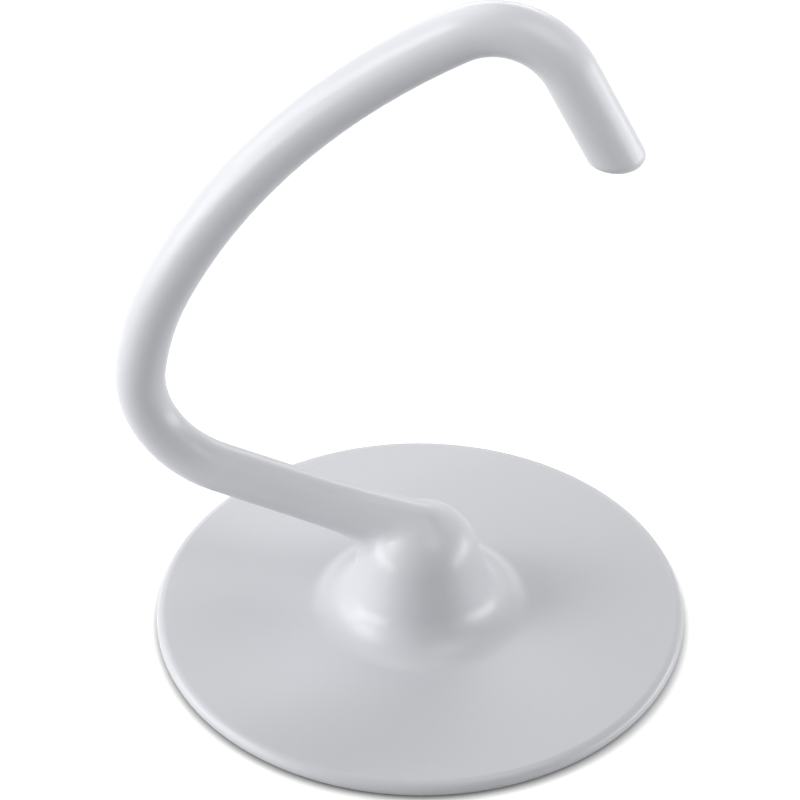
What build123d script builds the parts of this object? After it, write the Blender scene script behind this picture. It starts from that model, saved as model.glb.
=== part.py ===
from build123d import *
import os
from math import atan2, degrees, radians, tan

# Dough hook for a stand mixer: one aluminium casting under a thick white coating.
# It stands upside down on its round dough guard. The drive axis is Z, the guard's flat
# outer face is Z = 0, and the hook lies in the XZ plane, leaving the hub towards -X.
# Millimetres and degrees.

# Dough guard
disc_diameter = 114.0
disc_thickness = 3.6
disc_rim_round = 2.0

# Hub on the guard: a round dome, a wall that widens downwards by its draft and a hollow foot
dome_diameter = 25.6
hub_height = 28.1
hub_draft = 17.0
hub_foot_radius = 9.5

# Round arm, with a flared root that is blended into the hub
arm_diameter = 10.5
root_diameter = 13.8
root_length = 26.0
arm_blend_radius = 6.0

# Arm centreline: a rising straight run that starts on the drive axis, below the top of the
# hub, then four bends and the tip
arm_start_below_top = 5.8
arm_rise_angle = 14.7
straight_length = 45.1
knee_radius = 21.2
knee_turn = 83.8
shoulder_radius = 69.7
shoulder_turn = 18.0
belly_radius = 153.0
belly_turn = 33.0
crown_radius = 15.3
crown_turn = 91.5
tip_length = 21.2
tip_cut_tilt = 29.0
tip_edge_radius = 2.2

# Drive socket: a round bore with a keyway and a turn that locks over the shaft's cross pin
shaft_diameter = 12.7
shaft_clearance = 0.1
socket_roof = 8.1
pin_diameter = 4.8
pin_clearance = 0.3
pin_reach = 9.6
pin_height = 11.0
pin_seat_relief = 0.2
lock_turn = 60.0

# Sizes that follow from those above
disc_radius = disc_diameter / 2
dome_radius = dome_diameter / 2
dome_height = hub_height - dome_radius
arm_radius = arm_diameter / 2
arm_start_height = hub_height - arm_start_below_top
root_radius = root_diameter / 2
socket_radius = shaft_diameter / 2 + shaft_clearance
socket_depth = hub_height - socket_roof
pin_slot_width = pin_diameter + 2 * pin_clearance

# Hollow curve of the root: a circle that touches the root's ball and the arm's side
flare_gap = root_length**2 + arm_radius**2 - root_radius**2
flare_radius = flare_gap / (2 * (root_radius - arm_radius))
flare_start = degrees(atan2(arm_radius + flare_radius, root_length))

with BuildPart() as dough_hook:
    # Guard and hub, turned about the drive axis
    with BuildSketch(Plane.XZ):
        with BuildLine():
            rim = EllipticalCenterArc(
                (disc_radius - disc_rim_round, disc_thickness / 2),
                disc_rim_round,
                disc_thickness / 2,
                start_angle=-90,
                arc_size=180,
            )
            dome = CenterArc((0, dome_height), dome_radius, hub_draft, 90 - hub_draft)
            wall_drop = (dome @ 0).Y - disc_thickness
            wall_end = ((dome @ 0).X + wall_drop * tan(radians(hub_draft)), disc_thickness)
            FilletPolyline(dome @ 0, wall_end, rim @ 1, radius=hub_foot_radius)
            Polyline(dome @ 1, (0, 0), rim @ 0)
        make_face()
    revolve(axis=Axis.Z)

    # Root of the arm, turned about the arm's line: a ball on the drive axis and the hollow
    # curve that leads from it into the arm
    with BuildLine(Plane.XZ):
        root = PolarLine((0, arm_start_height), root_length, 180 - arm_rise_angle)
    with BuildSketch(Plane(root @ 0, x_dir=root % 0, z_dir=(0, 1, 0))):
        with BuildLine():
            ball = CenterArc((0, 0), root_radius, flare_start, 180 - flare_start)
            flare = CenterArc(
                (root_length, arm_radius + flare_radius),
                flare_radius,
                180 + flare_start,
                90 - flare_start,
            )
            Polyline(flare @ 1, (root_length, 0), ball @ 1)
        make_face()
    revolve(axis=Axis(root @ 0, root % 0))
    fillet(edges(Select.NEW), arm_blend_radius)

    # Arm, rising from its root and bending over the guard; its end runs on past the cut
    with BuildLine(Plane.XZ) as arm_line:
        straight = Line(root @ 1, root @ 0 + (root % 0) * straight_length)
        knee = JernArc(straight @ 1, straight % 1, knee_radius, -knee_turn)
        shoulder = JernArc(knee @ 1, knee % 1, shoulder_radius, -shoulder_turn)
        belly = JernArc(shoulder @ 1, shoulder % 1, belly_radius, -belly_turn)
        crown = JernArc(belly @ 1, belly % 1, crown_radius, -crown_turn)
        tip = Line(crown @ 1, crown @ 1 + (crown % 1) * (tip_length + arm_diameter))
    with BuildSketch(Plane(straight @ 0, x_dir=(0, 0, 1), z_dir=straight % 0)):
        Circle(arm_radius)
    sweep(path=arm_line.wire())

    # Tip, cut aslant so that its end is level with the guard, and rounded
    tip_end = crown @ 1 + (crown % 1) * tip_length
    cut_direction = (crown % 1).rotate(Axis.Y, tip_cut_tilt)
    with BuildSketch(Plane(tip_end, x_dir=(0, 1, 0), z_dir=cut_direction)):
        Rectangle(2 * arm_diameter, 4 * arm_diameter)
    extrude(amount=2 * arm_diameter, mode=Mode.SUBTRACT)
    fillet(edges(Select.NEW), tip_edge_radius)

    # Drive socket, open in the guard's outer face
    with BuildSketch(Plane.XY):
        Circle(socket_radius)
    extrude(amount=socket_depth, mode=Mode.SUBTRACT)

    # Keyway for the cross pin, the turn at its inner end and the seat where the pin locks
    with BuildSketch(Plane.XY):
        with Locations((pin_reach / 2, 0)):
            Rectangle(pin_reach, pin_slot_width)
    extrude(amount=pin_height + pin_slot_width / 2, mode=Mode.SUBTRACT)
    with BuildSketch(Plane.XZ):
        with Locations((pin_reach / 2, pin_height)):
            Rectangle(pin_reach, pin_slot_width)
    revolve(axis=Axis.Z, revolution_arc=lock_turn, mode=Mode.SUBTRACT)
    seat_direction = Vector(1, 0, 0).rotate(Axis.Z, lock_turn)
    with BuildSketch(Plane((0, 0, pin_height), z_dir=seat_direction)):
        Circle(pin_slot_width / 2 + pin_seat_relief)
    extrude(amount=pin_reach, mode=Mode.SUBTRACT)

dough_hook.part.label = "dough_hook"
os.makedirs("parts", exist_ok=True)
export_step(dough_hook.part, "parts/dough_hook.step")
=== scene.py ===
"""Looks of a stand mixer's dough hook: its white coating, the stage, the lights and the camera."""
from math import cos, pi, radians, sin

import bpy
from bpy.props import FloatProperty, FloatVectorProperty, PointerProperty
from bpy.types import Operator, Panel, PropertyGroup
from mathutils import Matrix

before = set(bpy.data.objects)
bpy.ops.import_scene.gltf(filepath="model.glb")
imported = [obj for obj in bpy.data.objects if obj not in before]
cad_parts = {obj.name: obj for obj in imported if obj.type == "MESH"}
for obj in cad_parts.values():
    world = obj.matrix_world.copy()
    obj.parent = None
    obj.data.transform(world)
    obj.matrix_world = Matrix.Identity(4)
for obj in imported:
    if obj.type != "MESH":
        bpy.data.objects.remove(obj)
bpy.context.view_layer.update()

bl_info = {
    "name": "Dough Hook Looks",
    "version": (1, 0, 0),
    "blender": (4, 5, 0),
    "location": "View3D > Sidebar > Dough Hook",
    "description": "Coats the cast dough hook and sets up its stage, lights and camera",
    "category": "Object",
}

CASTING = "dough_hook"

# Coating: its white in the darkest grain as a share of the full white, how much rougher the
# grain gets, and the fineness of both noises
GRAIN_SHADE = 0.985
GRAIN_ROUGHENING = 0.04
GRAIN_DETAIL = 3.0
PEEL_DETAIL = 2.0

# Bare socket: the coated lip at its mouth in metres, the scale and unevenness of the machined
# rings, and the roughness in and between them
SOCKET_LIP = 0.0003
RING_SCALE = 900.0
RING_DISTORTION = 1.5
RING_ROUGHNESS = (0.3, 0.42)

# Shading of the casting: points closer than this, in metres, are joined, and edges that turn
# by more than this angle stay sharp
JOIN_DISTANCE = 0.000001
SHARP_ANGLE = radians(30.0)

# Softboxes: name, turn from the front towards +X and angle above the floor in degrees,
# distance from the aim in metres, and width and height in metres
AIM_HEIGHT = 0.05
SOFTBOXES = (
    ("key", -70.0, 36.0, 0.80, (0.36, 0.34)),
    ("left_strip", -64.0, 4.0, 0.80, (0.72, 0.17)),
    ("left_back", -95.0, 17.0, 0.80, (0.40, 0.18)),
    ("right_strip", 101.0, 4.0, 0.80, (0.80, 0.17)),
    ("back", 190.0, 23.0, 0.90, (0.80, 0.16)),
    ("top", 225.0, 66.0, 0.32, (0.20, 0.20)),
    ("tip", 60.0, 58.0, 0.27, (0.14, 0.14)),
)

# Width of the camera's sensor in millimetres
SENSOR_WIDTH = 36.0


class CoatingSettings(PropertyGroup):
    """Finish of the casting."""

    color: FloatVectorProperty(
        name="Coating Color",
        description="Colour of the white nylon coating",
        subtype="COLOR",
        size=3,
        min=0.0,
        max=1.0,
        default=(0.685, 0.697, 0.732),
    )
    roughness: FloatProperty(
        name="Coating Roughness",
        description="Roughness of the coating where it is smoothest",
        subtype="FACTOR",
        min=0.0,
        max=1.0,
        default=0.33,
    )
    grain_size: FloatProperty(
        name="Grain Size",
        description="Size of the fine grain in the coating's white and gloss",
        unit="LENGTH",
        min=0.0002,
        max=0.02,
        default=0.0009,
    )
    peel_size: FloatProperty(
        name="Peel Size",
        description="Distance between the faint waves of the coating",
        unit="LENGTH",
        min=0.0002,
        max=0.02,
        default=0.0022,
    )
    peel_depth: FloatProperty(
        name="Peel Depth",
        description="Height of the faint waves of the coating",
        unit="LENGTH",
        min=0.0,
        max=0.001,
        default=0.000006,
    )
    metal_color: FloatVectorProperty(
        name="Bare Metal Color",
        description="Colour of the bare aluminium in the drive socket",
        subtype="COLOR",
        size=3,
        min=0.0,
        max=1.0,
        default=(0.62, 0.62, 0.61),
    )
    socket_radius: FloatProperty(
        name="Socket Radius",
        description="Radius from the drive axis inside which the socket's walls are bare metal",
        unit="LENGTH",
        default=0.0105,
    )
    socket_depth: FloatProperty(
        name="Socket Depth",
        description="Depth of the bare socket from the guard's outer face",
        unit="LENGTH",
        default=0.0205,
    )


class StageSettings(PropertyGroup):
    """Floor, lights and camera."""

    floor_size: FloatProperty(
        name="Floor Size",
        description="Side of the square floor",
        unit="LENGTH",
        default=6.0,
    )
    floor_color: FloatVectorProperty(
        name="Floor Color",
        description="Colour of the floor's white paint",
        subtype="COLOR",
        size=3,
        min=0.0,
        max=1.0,
        default=(0.72, 0.72, 0.72),
    )
    floor_glow: FloatProperty(
        name="Floor Glow",
        description="Part of the floor's white near the hook that doesn't depend on the lamps",
        default=0.62,
    )
    glow_rise_start: FloatProperty(
        name="Glow Rise Start",
        description="Distance from the hook at which the floor's glow starts to rise",
        unit="LENGTH",
        default=0.25,
    )
    glow_rise_end: FloatProperty(
        name="Glow Rise End",
        description="Distance from the hook, out of the lamps' reach, where the glow alone is white",
        unit="LENGTH",
        default=0.75,
    )
    # Reach of the painted contact shade that darkens the floor's paint and glow near the guard
    painted_shade_reach: FloatProperty(
        name="Contact Reach",
        description="Distance over which the floor darkens towards the guard",
        unit="LENGTH",
        default=0.002,
    )
    room_light: FloatProperty(
        name="Room Light",
        description="Strength of the light that comes from all round",
        default=0.03,
    )
    key_power: FloatProperty(
        name="Key Power",
        description="Power of the softbox high on the left",
        unit="POWER",
        default=2.26,
    )
    left_strip_power: FloatProperty(
        name="Left Strip Power",
        description="Power of the low softbox on the left",
        unit="POWER",
        default=3.09,
    )
    left_back_power: FloatProperty(
        name="Left Back Power",
        description="Power of the softbox on the left and behind",
        unit="POWER",
        default=0.98,
    )
    right_strip_power: FloatProperty(
        name="Right Strip Power",
        description="Power of the low softbox on the right",
        unit="POWER",
        default=3.46,
    )
    back_power: FloatProperty(
        name="Back Power",
        description="Power of the softbox behind the hook",
        unit="POWER",
        default=2.26,
    )
    top_power: FloatProperty(
        name="Top Power",
        description="Power of the small softbox overhead and behind",
        unit="POWER",
        default=0.23,
    )
    tip_power: FloatProperty(
        name="Tip Power",
        description="Power of the small softbox above the tip",
        unit="POWER",
        default=0.18,
    )
    lens: FloatProperty(
        name="Lens",
        description="Focal length of the camera",
        subtype="DISTANCE_CAMERA",
        default=117.0,
    )
    camera_location: FloatVectorProperty(
        name="Camera Location",
        description="Place of the camera",
        subtype="TRANSLATION",
        size=3,
        default=(0.07434, -0.42160, 0.37220),
    )
    camera_rotation: FloatVectorProperty(
        name="Camera Rotation",
        description="Turn of the camera",
        subtype="EULER",
        size=3,
        default=(radians(53.65), 0.0, radians(10.58)),
    )


def empty_tree(owner):
    """Turns on the nodes of a material or a world and removes those that come with it."""
    owner.use_nodes = True
    owner.node_tree.nodes.clear()
    return owner.node_tree


def new_node(tree, kind, location, **values):
    """Adds a node and sets its properties."""
    node = tree.nodes.new(kind)
    node.location = location
    for name, value in values.items():
        setattr(node, name, value)
    return node


def fill(tree, socket, value):
    """Links another node's output to a socket, or sets the socket to a plain value."""
    if isinstance(value, bpy.types.NodeSocket):
        tree.links.new(value, socket)
    else:
        socket.default_value = value


def math_node(tree, operation, location, first, second):
    """Adds a math node and returns its result."""
    node = new_node(tree, "ShaderNodeMath", location, operation=operation)
    fill(tree, node.inputs[0], first)
    fill(tree, node.inputs[1], second)
    return node.outputs["Value"]


def mix_node(tree, data_type, location, factor, first, second):
    """Adds a mix node and returns its result."""
    node = new_node(tree, "ShaderNodeMix", location, data_type=data_type)
    for name, value in (("Factor", factor), ("A", first), ("B", second)):
        fill(tree, node.inputs[name], value)
    return node.outputs["Result"]


def noise_node(tree, location, place, size, detail):
    """Adds a noise with waves of about the given size and returns its value."""
    node = new_node(tree, "ShaderNodeTexNoise", location)
    node.inputs["Scale"].default_value = 1.0 / size
    node.inputs["Detail"].default_value = detail
    tree.links.new(place, node.inputs["Vector"])
    return node.outputs["Fac"]


def range_node(tree, location, value, low, high):
    """Adds a node that spreads a value between 0 and 1 over the range from low to high."""
    node = new_node(tree, "ShaderNodeMapRange", location)
    node.inputs["To Min"].default_value = low
    node.inputs["To Max"].default_value = high
    tree.links.new(value, node.inputs["Value"])
    return node


def seen_mask(tree, location):
    """Mask of the rays that show the white room: from the camera, off gloss and through glass."""
    x, y = location
    rays = new_node(tree, "ShaderNodeLightPath", location).outputs
    glossy, clear = rays["Is Glossy Ray"], rays["Is Transmission Ray"]
    passed_on = math_node(tree, "MAXIMUM", (x + 200, y), glossy, clear)
    return math_node(tree, "MAXIMUM", (x + 400, y), rays["Is Camera Ray"], passed_on)


def socket_mask(tree, place, settings):
    """Mask of the bare socket: near the drive axis, between the coated lip and the socket's end."""
    axes = new_node(tree, "ShaderNodeSeparateXYZ", (-1200, 400))
    tree.links.new(place, axes.inputs["Vector"])
    x_square = math_node(tree, "POWER", (-1000, 600), axes.outputs["X"], 2.0)
    y_square = math_node(tree, "POWER", (-1000, 450), axes.outputs["Y"], 2.0)
    square = math_node(tree, "ADD", (-800, 550), x_square, y_square)
    inside = math_node(tree, "LESS_THAN", (-600, 550), square, settings.socket_radius ** 2)
    above = math_node(tree, "GREATER_THAN", (-800, 350), axes.outputs["Z"], SOCKET_LIP)
    below = math_node(tree, "LESS_THAN", (-800, 200), axes.outputs["Z"], settings.socket_depth)
    between = math_node(tree, "MULTIPLY", (-600, 300), above, below)
    return math_node(tree, "MULTIPLY", (-400, 450), inside, between)


def coating_material(settings):
    """White nylon coating over the casting, with bare aluminium left in the drive socket."""
    material = bpy.data.materials.new("white_coating")
    tree = empty_tree(material)
    link = tree.links.new
    output = new_node(tree, "ShaderNodeOutputMaterial", (1200, 0))
    shader = new_node(tree, "ShaderNodeBsdfPrincipled", (900, 0))
    link(shader.outputs["BSDF"], output.inputs["Surface"])
    place = new_node(tree, "ShaderNodeTexCoord", (-1400, 0)).outputs["Object"]
    bare = socket_mask(tree, place, settings)

    # Coating: fine grain in its white and in its gloss
    grain = noise_node(tree, (-1000, -50), place, settings.grain_size, GRAIN_DETAIL)
    shade = (*[GRAIN_SHADE * channel for channel in settings.color], 1.0)
    white = mix_node(tree, "RGBA", (-500, 100), grain, shade, (*settings.color, 1.0))
    roughest = settings.roughness + GRAIN_ROUGHENING
    gloss = range_node(tree, (-500, -150), grain, settings.roughness, roughest)

    # Machined rings in the socket
    rings = new_node(tree, "ShaderNodeTexWave", (-1000, -350), bands_direction="Z")
    rings.inputs["Scale"].default_value = RING_SCALE
    rings.inputs["Distortion"].default_value = RING_DISTORTION
    link(place, rings.inputs["Vector"])
    metal_gloss = range_node(tree, (-500, -400), rings.outputs["Fac"], *RING_ROUGHNESS)

    # Coating outside, metal in the socket
    metal = (*settings.metal_color, 1.0)
    color = mix_node(tree, "RGBA", (300, 200), bare, white, metal)
    roughness = mix_node(
        tree, "FLOAT", (300, -50), bare, gloss.outputs["Result"], metal_gloss.outputs["Result"]
    )
    link(color, shader.inputs["Base Color"])
    link(roughness, shader.inputs["Roughness"])
    link(bare, shader.inputs["Metallic"])

    # Faint waves of the sprayed and baked coating
    peel = noise_node(tree, (-1000, -650), place, settings.peel_size, PEEL_DETAIL)
    bump = new_node(tree, "ShaderNodeBump", (600, -400))
    bump.inputs["Strength"].default_value = 1.0
    bump.inputs["Distance"].default_value = settings.peel_depth
    link(peel, bump.inputs["Height"])
    link(bump.outputs["Normal"], shader.inputs["Normal"])
    return material


def floor_material(settings):
    """White floor: paint that takes the hook's shadow, and a glow for the camera and for gloss;
    paint and glow are both darkened near the guard by painted contact shade.
    """
    material = bpy.data.materials.new("white_floor")
    material.cycles.emission_sampling = "NONE"
    tree = empty_tree(material)
    link = tree.links.new
    output = new_node(tree, "ShaderNodeOutputMaterial", (800, 0))
    both = new_node(tree, "ShaderNodeAddShader", (600, 0))
    link(both.outputs["Shader"], output.inputs["Surface"])

    # Paint, with painted contact shade: darker where the guard is close
    painted_contact_shade = new_node(tree, "ShaderNodeAmbientOcclusion", (-100, 200))
    painted_contact_shade.inputs["Color"].default_value = (*settings.floor_color, 1.0)
    painted_contact_shade.inputs["Distance"].default_value = settings.painted_shade_reach
    paint = new_node(tree, "ShaderNodeBsdfDiffuse", (400, 100))
    link(painted_contact_shade.outputs["Color"], paint.inputs["Color"])
    link(paint.outputs["BSDF"], both.inputs[0])

    # Glow, which rises to white where the lamps no longer reach
    place = new_node(tree, "ShaderNodeTexCoord", (-700, -400)).outputs["Object"]
    distance = new_node(tree, "ShaderNodeVectorMath", (-500, -400), operation="LENGTH")
    link(place, distance.inputs[0])
    rise = range_node(tree, (-300, -400), distance.outputs["Value"], settings.floor_glow, 1.0)
    rise.interpolation_type = "SMOOTHSTEP"
    rise.inputs["From Min"].default_value = settings.glow_rise_start
    rise.inputs["From Max"].default_value = settings.glow_rise_end
    # Glow, also darkened near the guard by the painted contact shade
    glow_with_painted_shade = math_node(
        tree, "MULTIPLY", (0, -300), painted_contact_shade.outputs["AO"], rise.outputs["Result"]
    )
    glow = new_node(tree, "ShaderNodeEmission", (400, -100))
    seen = seen_mask(tree, (-500, -100))
    strength = math_node(tree, "MULTIPLY", (200, -200), seen, glow_with_painted_shade)
    link(strength, glow.inputs["Strength"])
    link(glow.outputs["Emission"], both.inputs[1])
    return material


def white_world(settings):
    """World that is white to the camera and in gloss, and a dim light otherwise."""
    world = bpy.data.worlds.new("white_room")
    world.cycles.sampling_method = "NONE"
    tree = empty_tree(world)
    link = tree.links.new
    output = new_node(tree, "ShaderNodeOutputWorld", (600, 0))
    room = new_node(tree, "ShaderNodeBackground", (400, 0))
    room.inputs["Color"].default_value = (1.0, 1.0, 1.0, 1.0)
    link(room.outputs["Background"], output.inputs["Surface"])
    seen = seen_mask(tree, (-500, 0))
    strength = range_node(tree, (200, 0), seen, settings.room_light, 1.0)
    link(strength.outputs["Result"], room.inputs["Strength"])
    return world


def add_softbox(name, place, size, power):
    """Adds an area lamp that is aimed at the hook; its place is turn, height angle and distance."""
    turn, height, distance = place
    reach = distance * cos(height)
    location = (reach * sin(turn), -reach * cos(turn), AIM_HEIGHT + distance * sin(height))
    rotation = (pi / 2 - height, 0.0, turn)
    bpy.ops.object.light_add(type="AREA", location=location, rotation=rotation)
    lamp = bpy.context.object
    lamp.name = name
    lamp.data.shape = "RECTANGLE"
    lamp.data.size, lamp.data.size_y = size
    lamp.data.energy = power
    lamp.visible_camera = False


def smooth_casting(casting):
    """Joins the casting's faces for shading, so that rounded forms meet without a line."""
    join = casting.modifiers.new("join_faces", "WELD")
    join.merge_threshold = JOIN_DISTANCE
    split = casting.modifiers.new("keep_edges", "EDGE_SPLIT")
    split.use_edge_sharp = False
    split.split_angle = SHARP_ANGLE
    even = casting.modifiers.new("even_shading", "WEIGHTED_NORMAL")
    even.mode = "FACE_AREA_WITH_ANGLE"


class DOUGHHOOK_OT_coat_casting(Operator):
    """Give the casting its white coating and the socket its bare metal"""

    bl_idname = "dough_hook.coat_casting"
    bl_label = "Coat the Casting"

    def execute(self, context):
        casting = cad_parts[CASTING]
        smooth_casting(casting)
        material = coating_material(context.scene.dough_hook_coating)
        casting.data.materials.clear()
        casting.data.materials.append(material)
        return {"FINISHED"}


class DOUGHHOOK_OT_build_stage(Operator):
    """Add the white floor, the softboxes, the world and the camera"""

    bl_idname = "dough_hook.build_stage"
    bl_label = "Build the Stage"

    def execute(self, context):
        settings = context.scene.dough_hook_stage
        bpy.ops.object.select_all(action="DESELECT")
        bpy.ops.mesh.primitive_plane_add(size=settings.floor_size)
        floor = context.object
        floor.name = "floor"
        floor.data.materials.append(floor_material(settings))
        context.scene.world = white_world(settings)
        for name, turn, height, distance, size in SOFTBOXES:
            place = (radians(turn), radians(height), distance)
            add_softbox(name + "_softbox", place, size, getattr(settings, name + "_power"))
        bpy.ops.object.camera_add(
            location=settings.camera_location, rotation=settings.camera_rotation
        )
        camera = context.object
        camera.name = "camera"
        camera.data.lens = settings.lens
        camera.data.sensor_width = SENSOR_WIDTH
        context.scene.camera = camera
        context.scene.view_settings.view_transform = "Standard"
        return {"FINISHED"}


class DOUGHHOOK_PT_looks(Panel):
    """Steps that dress the dough hook, with their settings"""

    bl_label = "Dough Hook"
    bl_idname = "DOUGHHOOK_PT_looks"
    bl_space_type = "VIEW_3D"
    bl_region_type = "UI"
    bl_category = "Dough Hook"

    def draw(self, context):
        layout = self.layout
        for settings, step in (
            (context.scene.dough_hook_coating, DOUGHHOOK_OT_coat_casting),
            (context.scene.dough_hook_stage, DOUGHHOOK_OT_build_stage),
        ):
            box = layout.box()
            for name in settings.__annotations__:
                box.prop(settings, name)
            box.operator(step.bl_idname)


CLASSES = (
    CoatingSettings,
    StageSettings,
    DOUGHHOOK_OT_coat_casting,
    DOUGHHOOK_OT_build_stage,
    DOUGHHOOK_PT_looks,
)


def register():
    for cls in CLASSES:
        bpy.utils.register_class(cls)
    bpy.types.Scene.dough_hook_coating = PointerProperty(type=CoatingSettings)
    bpy.types.Scene.dough_hook_stage = PointerProperty(type=StageSettings)


def unregister():
    del bpy.types.Scene.dough_hook_stage
    del bpy.types.Scene.dough_hook_coating
    for cls in reversed(CLASSES):
        bpy.utils.unregister_class(cls)


def main():
    register()
    bpy.ops.dough_hook.coat_casting()
    bpy.ops.dough_hook.build_stage()


if __name__ == "__main__":
    main()
